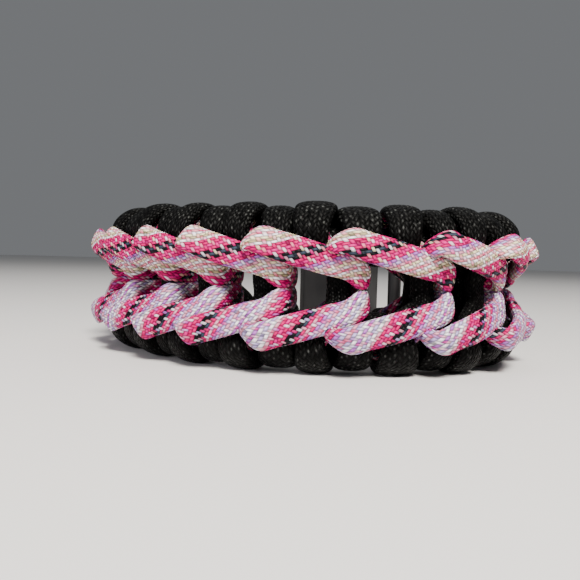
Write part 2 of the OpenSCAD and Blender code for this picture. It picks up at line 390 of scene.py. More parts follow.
    def wrap(self, k: int, tall: bool, side: int) -> Stations:
        """Stations of one wrap beside fold k.

        Hand-wound wraps are uneven: in each unit one of the two is a little wider and taller, by
        uneven times the sine of waver_unit u + waver_side s for unit u and side s, and the other
        is as much narrower.

        Args:
            k: Number of the fold.
            tall: Whether it is the tall wrap before the fold or the short one after it.
            side: UPPER or LOWER bar.

        Returns:
            The wrap's stations, front to back on the upper bar and back to front on the lower.
        """
        unit = k if tall else k + 1
        way = -1 if tall else 1
        waver = -way * self.uneven * math.sin(self.waver_unit * unit + self.waver_side * side)
        width = self.wrap_width(unit) * (1 + waver)
        rise = 1 + (waver if side == UPPER else min(waver, 0))
        front = self.fold(k) + way * (self.crevice + width) / 2
        back = self.fold(k) + way * (self.side_gap + width) / 2
        rows = []
        for row in self.wrap_table:
            shift = row[Wrap.SHIFT]
            lift = rise * row[Wrap.LIFT] * (self.tuck_lift if tall else self.short_lift)
            along = front + (back - front) * shift + way * row[Wrap.SPREAD]
            at = self.polar(side, row[Wrap.ANGLE], self.wrap_radius + lift)
            swell = (self.crevice - self.side_gap) * min(shift, 1 - shift) / 2
            thick = row[Wrap.THIN] if tall else 1.0 + self.short_swell * row[Wrap.LIFT]
            turn = math.radians(row[Wrap.ANGLE])
            rows.append((
                (along, *at),
                width / 2 * row[Wrap.NARROW] + swell + row[Wrap.PRESS],
                self.cord_thickness / 2 * thick,
                (0, side * math.cos(turn), math.sin(turn)),
            ))
        run = Stations.of(rows, k)
        return run if side == UPPER else run.backwards()

    def inner(self, k: int, side: int) -> Stations:
        """Stations on a bar's inner side between the wraps of fold k and the next fold.

        Args:
            k: Number of the fold.
            side: UPPER or LOWER bar.

        Returns:
            Two stations.
        """
        rows = []
        for angle, shift in self.inner_table:
            turned = angle if side == UPPER else -angle
            turn = math.radians(turned)
            rows.append((
                (self.middle(k + 1) + shift, *self.polar(side, turned, self.wrap_radius)),
                min(self.wrap_width(k + 1), self.inner_width) / 2,
                self.cord_thickness / 2,
                (0, side * math.cos(turn), math.sin(turn)),
            ))
        return Stations.of(rows, k)

    def rung(self, k: int, start: int) -> Stations:
        """Stations of the rung at fold k, which starts at the bar on side start.

        Args:
            k: Number of the fold.
            start: UPPER or LOWER bar.

        Returns:
            Two stations.
        """
        width = min(self.rung_width, self.wrap_width(k), self.wrap_width(k + 1))
        along = self.fold(k) + self.rung_offset
        rows = [
            (
                (along, end * self.rung_reach, -start * self.rung_out),
                width / 2,
                self.cord_thickness / 2,
                (0, 0, -start),
            )
            for end in (start, -start)
        ]
        return Stations.of(rows, k)

    def black_route(self, first: int) -> Stations:
        """Whole route of a black strand.

        Args:
            first: UPPER or LOWER, the bar of its first wrap.

        Returns:
            Stations from its first tall wrap to its last short wrap.
        """
        parts = [self.wrap(0, True, first)]
        side = first
        for k in range(self.unit_count + 1):
            parts.append(self.rung(k, side))
            side = -side
            parts.append(self.wrap(k, False, side))
            if k < self.unit_count:
                parts.append(self.inner(k, side))
                parts.append(self.wrap(k + 1, True, side))
        return Stations.join(parts)

    @property
    def tip_side(self) -> float:
        """Side place of an arm's tip."""
        return (self.side_axis - self.wrap_face) / 2

    @property
    def tip_along(self) -> float:
        """How far past a fold the arm from the unit before dives."""
        return self.rung_offset + self.rung_width / 2 + self.arm_thickness / 2 + self.tip_room

    @property
    def back_out(self) -> float:
        """How far in a patterned strand lies behind a bar."""
        return self.wrap_face + self.arm_thickness / 2 + self.back_room

    def arm_side(self, k: int, along: float) -> float:
        """Side place of the arm of fold k, falling evenly from the fold to the tip.

        Args:
            k: Number of the fold.
            along: Place along the loop.

        Returns:
            The side place.
        """
        start = self.side_axis - self.arm_drop
        run = self.unit_length(k + 1) - self.arm_start + self.tip_along + self.arm_overrun
        fall = start - self.tip_side - self.arm_end_rise
        return start - fall * (along - self.fold(k) - self.arm_start) / run

    def arm(self, k: int) -> Stations:
        """Stations of the arm that starts at fold k.

        Args:
            k: Number of the fold.

        Returns:
            The upper strand's stations.
        """
        rows = []
        for share, height, wide, tilt, lean in self.arm_table:
            along = self.fold(k) + share * self.unit_length(k + 1)
            turn = math.radians(tilt)
            rows.append((
                (along, self.arm_side(k, along), self.wrap_face + height * self.arm_thickness),
                self.arm_width / 2 * wide,
                self.arm_thickness / 2,
                (0, math.sin(turn), math.cos(turn)),
                lean,
            ))
        return Stations.of(rows, k)

    def dive(self, k: int) -> Stations:
        """Stations over and behind the rung at fold k, at the end of the arm of fold k - 1.

        The first two bend over the tip, the next two pass the rung, and the last three slant
        back behind it to the bar. Each is a place counted from the tip or the fold.

        Args:
            k: Number of the fold.

        Returns:
            The upper strand's stations.
        """
        f = self.fold(k)
        s = f + self.tip_along
        t = self.arm_thickness / 2
        thin = self.dive_thin * t
        face = self.rung_face
        tip = self.tip_side + 0.05
        back = face + t + 0.55
        wide = self.arm_width / 2
        rows = [
            ((s - 2.15, self.arm_side(k - 1, s - 2.15), face + 2.1), 0.85 * wide, t, (0, -0.21, 0.98)),
            ((s - 0.35, self.tip_side + 0.15, face + 1), tip + 0.1, thin, (0.75, -0.1, 0.6)),
            ((s, self.tip_side, 0.6), tip, thin, (1, 0, 0)),
            ((s - 0.15, self.tip_side, 0.15 - face), tip, thin, (0.9, 0, -0.3)),
            ((s - 1.55, self.tip_side + 0.5, -back), tip + 0.25, thin, (0.25, 0, -1)),
            ((s - 4.05, self.tip_side + 1.85, -back - 0.5), 0.87 * wide, thin, (0, 0, -1)),
            ((f - 2.7, self.side_axis - 2.5, -self.back_out), 0.83 * wide, thin, (0, 0.1, -1)),
        ]
        return Stations.of(rows, k - 1)

    def tuck(self, k: int) -> Stations:
        """Stations from the back, round the core under the tall wrap, and up to fold k.

        The first five go round the core at growing angles and turn flat against it, and the last
        two come up between the wraps and turn over into the arm.

        Args:
            k: Number of the fold.

        Returns:
            The upper strand's stations, of which the first two are in the unit before.
        """
        f, m, w = self.fold(k), self.middle(k), self.wrap_width(k)
        t = self.tuck_thickness / 2
        r = t + self.lay_gap

        def point(along: float, angle: float, rise: float) -> tuple[float, float, float]:
            """A place at an angle round the upper core, that far above its surface."""
            return (along, *self.polar(UPPER, angle, self.core_radius + rise))

        def radial(angle: float) -> tuple[float, float, float]:
            """The direction out from the upper core at an angle."""
            return (0, math.cos(math.radians(angle)), math.sin(math.radians(angle)))

        rows = [
            (point(m - 0.05, -60, 1.35), 1.05, t, (1, 0, 0)),
            (point(m + 0.75, -22, r + 0.24), 1.0, t, (0.5, 0.8, -0.2)),
            (point(f - 0.3 - 0.55 * w, 18, r + 0.03), 1.3, t, radial(18)),
            (point(f - 2.5, 46, r), 1.0, t, radial(46)),
            (point(f - 1.5, 90, r), 0.75, t, (-0.3, 0, 0.95)),
            ((f - 0.4, self.side_axis - 1.6, self.wrap_face - 0.3), 0.85, t, (-0.65, 0.65, 0.35)),
            (
                (f - 0.2, self.side_axis - 1.05, self.wrap_face + 1.5),
                1.6,
                self.arm_thickness / 2,
                (-0.57, 0.78, 0.26),
                0.35,
            ),
        ]
        run = Stations.of(rows, k)
        run.unit[:2] = max(k - 1, 0)
        return run

    def entry(self, k: int) -> Stations:
        """The station behind the band where the strand turns from fold k to its next tuck."""
        place = (self.middle(k + 1) + 0.15, self.side_axis - 1, -self.back_out)
        return Stations.of([(place, 0.95, 0.72, (0.85, 0.15, -0.5))], k)

    def patterned_route(self, side: int) -> Stations:
        """Whole route of a patterned strand.

        Args:
            side: UPPER or LOWER.

        Returns:
            Stations from its first tuck to behind the last rung.
        """
        parts = [self.tuck(0)]
        for k in range(self.unit_count):
            parts += [self.arm(k), self.dive(k + 1)]
            if k < self.unit_count - 1:
                parts += [self.entry(k), self.tuck(k + 1)]
        route = Stations.join(parts)
        return route if side == UPPER else route.mirrored()

    def core_route(self, side: int) -> Stations:
        """Whole route of a core strand, hooked round both end bars.

        Args:
            side: UPPER or LOWER bar.

        Returns:
            Stations from one hook to the other.
        """
        radius = self.end_bar_diameter / 2 + self.core_radius + self.hook_room
        half = self.core_radius

        def hook(way: int) -> Stations:
            """Stations round one end bar.

            Args:
                way: 1 for the bar at the end of the route, -1 for the one at its start.

            Returns:
                Stations from the strand's end into the straight.
            """
            return Stations.of([
                (
                    (way * (self.bar_along + radius * a), side * self.side_axis, radius * b),
                    half,
                    half,
                    (way * c, 0, d),
                )
                for a, b, c, d in self.hook_table
            ])

        run = self.bar_along - 2 * radius
        straight = Stations.of([
            ((along, side * self.side_axis, 0), half, half, (0, 0, 1))
            for along in np.linspace(-run, run, self.core_stations)
        ])
        return Stations.join([hook(-1), straight, hook(1).backwards()])


# Sweeping a braided cord


def smoothed(values: np.ndarray, width: float) -> np.ndarray:
    """Runs a Gaussian of a width in samples over the rows, with the ends held.

    w(i) = exp(-i^2 / (2 width^2)), scaled to a sum of 1.

    Args:
        values: Rows (n, m).
        width: The Gaussian's width in samples.

    Returns:
        Smoothed rows (n, m).
    """
    reach = max(int(3 * width), 1)
    weights = np.exp(-0.5 * (np.arange(-reach, reach + 1) / width) ** 2)
    weights /= weights.sum()
    padded = np.concatenate([
        2 * values[:1] - values[reach:0:-1],
        values,
        2 * values[-1:] - values[-2:-reach - 2:-1],
    ])
    return np.stack(
        [np.convolve(padded[:, c], weights, mode="valid") for c in range(values.shape[1])], axis=1
    )


def unit_rows(vectors: np.ndarray) -> np.ndarray:
    """Each row divided by its length."""
    return vectors / np.maximum(np.linalg.norm(vectors, axis=1, keepdims=True), 1e-9)


def curve_through(points: np.ndarray, samples: int) -> tuple[np.ndarray, np.ndarray]:
    """Centripetal Catmull-Rom curve through points.

    Knots are t(i+1) = t(i) + |P(i+1) - P(i)|^0.5, and each piece is blended from its four
    points by repeated linear steps.

    Args:
        points: Points (n, 3).
        samples: Samples in each piece.

    Returns:
        Curve points (m, 3) and the station number at each, a fraction between stations.
    """
    p = np.concatenate([2 * points[:1] - points[1:2], points, 2 * points[-1:] - points[-2:-1]])
    step = np.sqrt(np.maximum(np.linalg.norm(np.diff(p, axis=0), axis=1), TINY))
    knot = np.concatenate([[0.0], np.cumsum(step)])
    count = len(points) - 1
    share = np.arange(samples) / samples
    t0, t1, t2, t3 = (knot[i:i + count, None] for i in range(4))
    t = t1 + (t2 - t1) * share[None, :]
    q = [p[i:i + count, None, :] for i in range(4)]

    def step_between(a: np.ndarray, b: np.ndarray, ta: np.ndarray, tb: np.ndarray) -> np.ndarray:
        """One linear step between two curves over the knots ta and tb."""
        w = ((t - ta) / (tb - ta))[:, :, None]
        return a * (1 - w) + b * w

    a1, a2, a3 = (
        step_between(q[0], q[1], t0, t1),
        step_between(q[1], q[2], t1, t2),
        step_between(q[2], q[3], t2, t3),
    )
    b1, b2 = step_between(a1, a2, t0, t2), step_between(a2, a3, t1, t3)
    curve = step_between(b1, b2, t1, t2).reshape(-1, 3)
    number = (np.arange(count)[:, None] + share[None, :]).reshape(-1)
    return np.concatenate([curve, points[-1:]]), np.concatenate([number, [float(count)]])


@dataclass(frozen=True)
class BraidedCord:
    """A cord's sheath: its section, its braid and how finely its surface is worked out.

    The braid has carriers both ways round. With u the share of the way round and v the number of
    stitches along, one family lies on whole numbers of p = columns u + v and the other on whole
    numbers of q = columns u - v. A carrier passes over two and under two, so which family is on
    top depends on (floor p + floor q) mod 4.
    """

    columns: int = 20
    stitch: float = 0.76
    round_steps: int = 2
    long_steps: int = 2
    roundness: float = 2.5
    relief: float = 0.07
    fuller: float = 1.04
    end_round: float = 1.2
    section_samples: int = 2881

    def section(self) -> np.ndarray:
        """Outline shares of half width and half thickness, evenly spaced round the edge.

        x = |cos a|^(2/n), y = |sin a|^(2/n), with their signs, for a cord twice as wide as thick.

        Returns:
            Outline (count, 2), from the edge round by the face.
        """
        turn = np.linspace(0, 2 * math.pi, self.section_samples)
        power = 2 / self.roundness
        x = np.sign(np.cos(turn)) * np.abs(np.cos(turn)) ** power
        y = np.sign(np.sin(turn)) * np.abs(np.sin(turn)) ** power
        way = np.concatenate([[0.0], np.cumsum(np.hypot(2 * np.diff(x), np.diff(y)))])
        even = np.linspace(0, way[-1], self.columns * self.round_steps + 1)[:-1]
        return np.stack([np.interp(even, way, x), np.interp(even, way, y)], axis=1)

    def height(self, u: np.ndarray, v: np.ndarray) -> np.ndarray:
        """Height of the stitches, 0 between them and 1 at their tops.

        With m for (floor p + floor q) mod 4, the first family is on top while m is 0 or 1, and
        the second while it is 2 or 3. Across a carrier the height is the square root of
        1 - (2f - 1)^2, and along a stitch e + (1 - e) (1 - (2t - 1)^2), with e for STITCH_END.

        Args:
            u: Shares of the way round.
            v: Stitches along.

        Returns:
            Heights of the same shape.
        """
        p, q = self.columns * u + v, self.columns * u - v
        i, j = np.floor(p + TINY), np.floor(q + TINY)
        fp, fq = np.clip(p - i, 0, 1), np.clip(q - j, 0, 1)
        m = np.mod(i + j, 4)
        over = m < 1.5
        across = np.where(over, fp, fq)
        along = np.where(over, (m + fq) / 2, (m - 2 + fp) / 2)
        pillow = np.sqrt(np.maximum(1 - (2 * across - 1) ** 2, 0))
        return pillow * (STITCH_END + (1 - STITCH_END) * (1 - (2 * along - 1) ** 2))


def add_object(name: str, data: bpy.types.ID) -> bpy.types.Object:
    """A new object in the scene for a mesh, a light or a camera.

    Args:
        name: The object's name.
        data: Its mesh, light or camera.

    Returns:
        The object.
    """
    obj = bpy.data.objects.new(name, data)
    bpy.context.scene.collection.objects.link(obj)
    return obj


@dataclass
class SweptCord:
    """One strand as a mesh: rings carried along a smooth curve through its stations.

    The softness is in millimetres along the strand, and the bend's softness in rings.
    """

    name: str
    loop: OvalLoop
    cord: BraidedCord
    stations: Stations
    shift: np.ndarray
    softness: float = 0.45
    bend_softness: float = 1.5
    bend_hold: float = 0.85
    curve_samples: int = 24
    least_end: float = 0.02
    least_reach: float = 0.3
    station_v: np.ndarray = field(default_factory=lambda: np.zeros(0))

    def rings(self) -> tuple[np.ndarray, np.ndarray, np.ndarray]:
        """Works out the rings of the strand.

        A ring point is P + w x (U + l T) + h y V, with U across, V out of the flat face, T along
        and l the lean. Where the curve bends so much that a point would pass its centre, it is
        held at bend_hold of the way.

        Returns:
            Ring points (rings, around, 3), stitches along (rings,) and woven unit (rings,).
        """
        st, cord = self.stations, self.cord
        centre, out = self.loop.frame(st.place[:, 0])
        lift = np.stack([np.zeros(len(out)), np.zeros(len(out)), st.place[:, 1]], axis=1)
        points = centre + st.place[:, 2:] * out + lift
        faces = unit_rows(self.loop.to_world(st.place[:, 0], st.face))
        curve, number = curve_through(points, self.curve_samples)
        way = np.concatenate([[0.0], np.cumsum(np.linalg.norm(np.diff(curve, axis=0), axis=1))])
        step = cord.stitch / cord.long_steps
        rings = int(way[-1] / step)
        along = np.arange(rings + 1) * step
        self.station_v = np.interp(np.arange(len(points)), number, way) / cord.stitch
        at = np.interp(along, way, number)
        path = np.stack([np.interp(along, way, curve[:, c]) for c in range(3)], axis=1)
        path = smoothed(path, self.softness / step)
        index = np.arange(len(points))
        face = np.stack([np.interp(at, index, faces[:, c]) for c in range(3)], axis=1)
        face = smoothed(face, 2 * self.softness / step)
        sizes = np.stack(
            [np.interp(at, index, row) for row in (st.half_width, st.half_thick, st.lean)], axis=1
        )
        sizes = smoothed(sizes, 2 * self.softness / step)
        lean, sizes = sizes[:, 2:], sizes[:, :2] * cord.fuller
        tangent = unit_rows(np.gradient(path, axis=0))
        wide = unit_rows(np.cross(face, tangent))
        thick = np.cross(tangent, wide)
        ends = np.minimum(along, along[-1] - along) / cord.end_round
        sizes *= np.sqrt(np.clip(1 - (1 - np.clip(ends, self.least_end, 1)) ** 2, 0, 1))[:, None]
        outline = cord.section()
        across = wide + lean * tangent
        offset = (
            across[:, None, :] * (sizes[:, :1] * outline[None, :, 0])[:, :, None]
            + thick[:, None, :] * (sizes[:, 1:] * outline[None, :, 1])[:, :, None]
        )
        share = np.arange(len(outline)) / len(outline)
        v = along / cord.stitch
        relief = cord.relief * cord.height(share[None, :], v[:, None])
        reach = np.maximum(np.linalg.norm(offset, axis=2, keepdims=True), self.least_reach)
        offset = offset * (1 + (relief[:, :, None] - cord.relief / 2) / reach)
        bend = smoothed(np.gradient(tangent, along, axis=0), self.bend_softness)
        inward = np.einsum("rac,rc->ra", offset, bend)
        hold = np.where(inward > self.bend_hold, self.bend_hold / np.maximum(inward, TINY), 1.0)
        unit = st.unit[np.minimum(np.round(at).astype(int), len(st.unit) - 1)]
        return path[:, None, :] + offset * hold[:, :, None], v, unit

    def build(self, place: np.ndarray) -> bpy.types.Object:
        """Makes the strand's mesh with its cord map and its colour shift map.

        Quads join each ring to the next and a fan of triangles closes each end. A corner's cord
        map is its column as a share of the way round, and its stitches along.

        Args:
            place: Where the loop's middle lies in the frame, in millimetres (3,).

        Returns:
            The finished object, at the origin.
        """
        rings, v, unit = self.rings()
        count, around = rings.shape[:2]
        caps = np.stack([rings[0].mean(axis=0), rings[-1].mean(axis=0)])
        verts = np.concatenate([rings.reshape(-1, 3), caps]) + place
        ring, column = np.broadcast_arrays(
            np.arange(count - 1)[:, None, None] + np.array([0, 0, 1, 1]),
            np.arange(around)[None, :, None] + np.array([0, 1, 1, 0]),
        )
        side = np.arange(around)
        after = (side + 1) % around
        last = (count - 1) * around
        centre = np.full(around, count * around)
        fans = [
            np.stack([after, side, centre], axis=1),
            np.stack([last + side, last + after, centre + 1], axis=1),
        ]
        quads = ring * around + column % around
        corners = np.concatenate([part.reshape(-1) for part in (quads, *fans)])
        sizes = np.repeat([4, 3], [last, 2 * around])
        mesh = bpy.data.meshes.new(self.name)
        mesh.vertices.add(len(verts))
        mesh.vertices.foreach_set("co", (verts * MM).astype(np.float32).reshape(-1))
        mesh.loops.add(len(corners))
        mesh.loops.foreach_set("vertex_index", corners.astype(np.int32))
        mesh.polygons.add(len(sizes))
        starts = np.concatenate([[0], np.cumsum(sizes)[:-1]])
        mesh.polygons.foreach_set("loop_start", starts.astype(np.int32))
        mesh.polygons.foreach_set("loop_total", sizes.astype(np.int32))
        first_u, last_u = (
            (side[:, None] + np.array(step)) / around for step in ((1, 0, 0.5), (0, 1, 0.5))
        )
        fan_corners = 3 * around
        corner_u = np.concatenate([part.reshape(-1) for part in (column / around, first_u, last_u)])
        corner_v = np.concatenate([v[ring].reshape(-1), np.repeat([v[0], v[-1]], fan_corners)])
        units = np.concatenate([
            np.repeat(unit[:-1], 4 * around), np.repeat([unit[0], unit[-1]], fan_corners)
        ])
        self.add_map(mesh, "Cord", np.stack([corner_u, corner_v], axis=1))
        self.add_map(mesh, "Shift", self.shift[units])
        mesh.update()
        mesh.validate()
        mesh.shade_smooth()
        LOG.info("%s: %d rings of %d, %.0f mm of cord", self.name, count, around,
                 v[-1] * self.cord.stitch)
        return add_object(self.name, mesh)

    @staticmethod
    def add_map(mesh: bpy.types.Mesh, name: str, values: np.ndarray) -> None:
        """Writes a UV map from one row of two numbers per corner."""
        layer = mesh.uv_layers.new(name=name)
        layer.uv.foreach_set("vector", values.astype(np.float32).reshape(-1))


# Finishes


class NodeBench:
    """A small helper that adds nodes to a tree and wires them up."""

    def __init__(self, tree: bpy.types.NodeTree) -> None:
        """Keeps the tree that the nodes go into."""
        self.tree = tree

    def add(self, kind: str, **settings: object) -> bpy.types.Node:
        """Adds a node of a kind and sets its plain settings.

        Args:
            kind: The kind, as Blender names it.
            settings: The node's settings.

        Returns:
            The node.
        """
        node = self.tree.nodes.new(kind)
        for key, value in settings.items():
            setattr(node, key, value)
        return node

    def wire(self, value: object, socket: bpy.types.NodeSocket) -> None:
        """Links a socket, or writes a plain value, into another socket.

        Args:
            value: A socket or a plain value.
            socket: The input that it goes into.
        """
        if isinstance(value, bpy.types.NodeSocket):
            self.tree.links.new(value, socket)
        else:
            socket.default_value = value

    def math(self, operation: str, *inputs: object) -> bpy.types.NodeSocket:
        """A Math node's result for up to three inputs.

        Args:
            operation: What the node does.
            inputs: Sockets or numbers.

        Returns:
            The result.
        """
        node = self.add("ShaderNodeMath", operation=operation)
        for value, socket in zip(inputs, node.inputs):
            self.wire(value, socket)
        return node.outputs[0]

    def mix(self, factor: object, a: object, b: object, blend: str = "MIX") -> bpy.types.NodeSocket:
        """A colour Mix node's result.

        Args:
            factor: Share of the second colour.
            a: First colour.
            b: Second colour.
            blend: How they are mixed.

        Returns:
            The mixed colour.
        """
        node = self.add("ShaderNodeMix", data_type="RGBA", blend_type=blend)
        self.wire(factor, node.inputs["Factor"])
        self.wire(a, node.inputs[6])
        self.wire(b, node.inputs[7])
        return node.outputs[2]

    def blend(self, factor: object, a: object, b: object) -> bpy.types.NodeSocket:
        """A number Mix node's result.

        Args:
            factor: Share of the second number.
            a: First number.
            b: Second number.

        Returns:
            The mixed number.
        """
        node = self.add("ShaderNodeMix", data_type="FLOAT")
        self.wire(factor, node.inputs[0])
        self.wire(a, node.inputs[2])
        self.wire(b, node.inputs[3])
        return node.outputs[0]

    def combine(self, x: object, y: object, z: object) -> bpy.types.NodeSocket:
        """Three numbers as one vector.

        Args:
            x: First.
            y: Second.
            z: Third.

        Returns:
            The vector.
        """
        node = self.add("ShaderNodeCombineXYZ")
        for value, socket in zip((x, y, z), node.inputs):
            self.wire(value, socket)
        return node.outputs[0]

    def step(self, value: object, low: float, high: float) -> bpy.types.NodeSocket:
        """A soft step from 0 at low to 1 at high.

        Args:
            value: The number.
            low: Where the step starts.
            high: Where it ends.

        Returns:
            The step.
        """
        node = self.add("ShaderNodeMapRange", interpolation_type="SMOOTHSTEP")
        node.inputs["From Min"].default_value = low
        node.inputs["From Max"].default_value = high
        self.wire(value, node.inputs["Value"])
        return node.outputs[0]

    def noise(self, vector: object, scale: float, detail: float) -> bpy.types.NodeSocket:
        """A Noise texture's value.

        Args:
            vector: The place.
            scale: Its scale.
            detail: Its detail.

        Returns:
            The value.
        """
        node = self.add("ShaderNodeTexNoise")
        self.wire(vector, node.inputs["Vector"])
        node.inputs["Scale"].default_value = scale
        node.inputs["Detail"].default_value = detail
        return node.outputs["Fac"]

    def vary(self, value: object, span: float, middle: float) -> bpy.types.NodeSocket:
        """A number that goes span wide about the middle while the value goes from 0 to 1."""
        return self.math("MULTIPLY_ADD", value, span, middle - span / 2)

    def bump(self, height: object, strength: float, distance: float) -> bpy.types.NodeSocket:
        """A Bump node's normal, for a distance in millimetres.

        Args:
            height: The height.
            strength: Share of the bump.
            distance: The height of a full step.

        Returns:
            The normal.
        """
        node = self.add("ShaderNodeBump")
        node.inputs["Strength"].default_value = strength
        node.inputs["Distance"].default_value = distance * MM
        self.wire(height, node.inputs["Height"])
        return node.outputs["Normal"]


def new_material(name: str) -> tuple[bpy.types.Material, NodeBench, bpy.types.Node]:
    """Makes a material with nodes.

    Args:
        name: The material's name.

    Returns:
        The material, a bench on its tree, and its Principled node.
    """
    material = bpy.data.materials.new(name)
    material.use_nodes = True
    return material, NodeBench(material.node_tree), material.node_tree.nodes["Principled BSDF"]


@dataclass(frozen=True)
class BraidGroup:
    """The braid's node group, used by each cord's finish.

    It works out the same p, q, carriers and stitch height as BraidedCord.height. Its inputs are
    Cord, Shift and Columns. Of its outputs, Height is the stitch height, Dot the middle of each
    stitch of the second family, Painted glint a mask on the tops of some stitches of both where
    painted glints go, Carrier A and Carrier B the carriers of each family as shares of 1, Stitch
    a number for each stitch, and Filament a grain along it. Stitches are told apart by their
    carrier and their row of the pattern, with second_name added for the second family.
    """

    dot_rise: tuple[float, float] = (0.12, 0.4)
    crown_power: float = 3.0
    crown_rise: tuple[float, float] = (0.62, 0.92)
    rare_power: float = 2.5
    second_name: float = 0.37
    thread_across: float = 5.0
    thread_along: float = 0.8
    thread_apart: float = 40.0
    grain_scale: float = 1.6
    grain_detail: float = 2.0

    @staticmethod
    def sockets() -> bpy.types.NodeTree:
        """A new group with its named inputs and outputs.

        Returns:
            The group.
        """
        group = bpy.data.node_groups.new("Braided sheath", "ShaderNodeTree")
        for name, kind in (("Cord", "NodeSocketVector"), ("Shift", "NodeSocketVector"),
                           ("Columns", "NodeSocketFloat")):
            group.interface.new_socket(name=name, in_out="INPUT", socket_type=kind)
        for name in ("Height", "Dot", "Peak", "Carrier A", "Carrier B", "Stitch", "Filament"):
            group.interface.new_socket(name=name, in_out="OUTPUT", socket_type="NodeSocketFloat")
        return group

    def build(self) -> bpy.types.NodeTree:
        """Builds the group.

        Returns:
            The group, with its nodes wired up.
        """
        group = self.sockets()
        bench = NodeBench(group)
        given = bench.add("NodeGroupInput")
        result = bench.add("NodeGroupOutput")
        cord = bench.add("ShaderNodeSeparateXYZ")
        shift = bench.add("ShaderNodeSeparateXYZ")
        bench.wire(given.outputs["Cord"], cord.inputs[0])
        bench.wire(given.outputs["Shift"], shift.inputs[0])
        columns = given.outputs["Columns"]
        # Short names for the sums: take(a, b) is a - b, and scaled(a, b, c) is a b + c
        add, take, times, scaled, floor, wrap, power = (
            partial(bench.math, kind) for kind in (
                "ADD", "SUBTRACT", "MULTIPLY", "MULTIPLY_ADD", "FLOOR", "FLOORED_MODULO", "POWER"))
        round_part = times(cord.outputs["X"], columns)
        p = add(round_part, cord.outputs["Y"])
        q = take(round_part, cord.outputs["Y"])
        i, j = floor(p), floor(q)
        fp, fq = take(p, i), take(q, j)
        both = add(i, j)
        m = wrap(both, 4.0)
        over = bench.math("LESS_THAN", m, 1.5)
        across = bench.blend(over, fq, fp)
        along = bench.blend(over, times(add(take(m, 2.0), fp), 0.5), times(add(m, fq), 0.5))
        centred = scaled(across, 2.0, -1.0)
        pillow = bench.math("SQRT", bench.math("MAXIMUM", take(1.0, times(centred, centred)), 0.0))
        run = bench.math("ABSOLUTE", scaled(along, 2.0, -1.0))
        dip = take(1.0, times(run, run))
        height = times(pillow, scaled(dip, 1.0 - STITCH_END, STITCH_END))
        dot = times(bench.step(height, *self.dot_rise), take(1.0, over))
        carrier_a = wrap(add(i, shift.outputs["X"]), columns)
        carrier_b = wrap(take(shift.outputs["Y"], j), columns)
        row = floor(times(both, 0.25))
        name_of = bench.blend(over, add(j, self.second_name), i)
        white = bench.add("ShaderNodeTexWhiteNoise", noise_dimensions="2D")
        bench.wire(bench.combine(name_of, row, 0.0), white.inputs["Vector"])
        stitch = white.outputs["Value"]
        # Painted glints: a mask on the tops of a random few stitches, where the finishes mix a light
        # grey into the colour
        crown = times(pillow, power(dip, self.crown_power))
        painted_glint_spot = times(bench.step(crown, *self.crown_rise), power(stitch, self.rare_power))
        thread = bench.combine(times(across, self.thread_across), times(along, self.thread_along),
                               times(stitch, self.thread_apart))
        for name, value in (
            ("Height", height), ("Dot", dot), ("Peak", painted_glint_spot), ("Stitch", stitch),
            ("Filament", bench.noise(thread, self.grain_scale, self.grain_detail)),
            ("Carrier A", bench.math("DIVIDE", add(carrier_a, 0.5), columns)),
            ("Carrier B", bench.math("DIVIDE", add(carrier_b, 0.5), columns)),
        ):
            bench.wire(value, result.inputs[name])
        return group


class Yarn(Enum):
    """Colours of the yarns on the carriers, as linear red, green and blue."""

    CREAM = (0.88, 0.76, 0.50)
    OLIVE = (0.46, 0.37, 0.22)
    WHITE = (0.92, 0.86, 0.94)
    BLUSH = (0.82, 0.26, 0.32)
    ROSE = (0.72, 0.30, 0.42)
    MIST = (0.48, 0.38, 0.70)
    PINK = (0.70, 0.01, 0.22)
    HOT_PINK = (0.58, 0.0, 0.13)
    LILAC = (0.44, 0.14, 0.54)
    SLATE = (0.03, 0.045, 0.07)
    INK = (0.003, 0.003, 0.005)


def palette(*yarns: Yarn) -> tuple[Color, ...]:
    """Colours of a row of yarns, one for each carrier."""
    return tuple(yarn.value for yarn in yarns)


